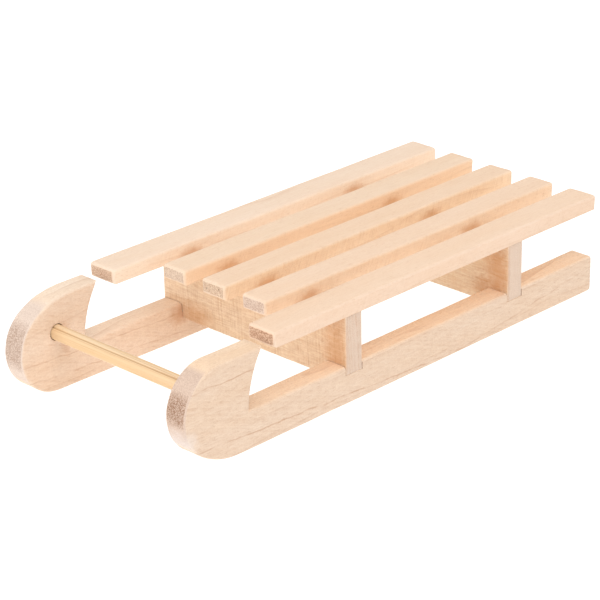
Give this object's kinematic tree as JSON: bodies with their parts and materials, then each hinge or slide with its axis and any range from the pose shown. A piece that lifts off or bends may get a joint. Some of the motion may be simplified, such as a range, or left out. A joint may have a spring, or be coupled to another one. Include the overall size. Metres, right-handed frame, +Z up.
{
  "type": "miniature sled",
  "caption": "Miniature wooden sled for decoration: hooked runners joined by cross boards and a round bamboo bar, with a slatted deck.",
  "frame": {"origin": "on the ground, at the centre of the sled's footprint", "axes": "+Y runs from the hooked noses to the tails, +Z is up out of the deck, +X is the sled's left side"},
  "size_m": [0.0504, 0.1159, 0.0211],
  "materials": {
    "runner_wood": "raw sawn pale wood, fine slanting saw marks, unvarnished",
    "bolster_wood": "raw rough-sawn pale wood, unvarnished",
    "slat_wood": "raw planed pale wood, eased edges, unvarnished",
    "bamboo": "split and rounded bamboo, faint natural sheen along the fibres"
  },
  "bodies": {
    "root": {"left_runner": "runner_wood", "right_runner": "runner_wood", "front_bolster": "bolster_wood", "rear_bolster": "bolster_wood", "left_outer_slat": "slat_wood", "left_inner_slat": "slat_wood", "centre_slat": "slat_wood", "right_inner_slat": "slat_wood", "right_outer_slat": "slat_wood", "front_bar": "bamboo"}
  },
  "joints": []
}
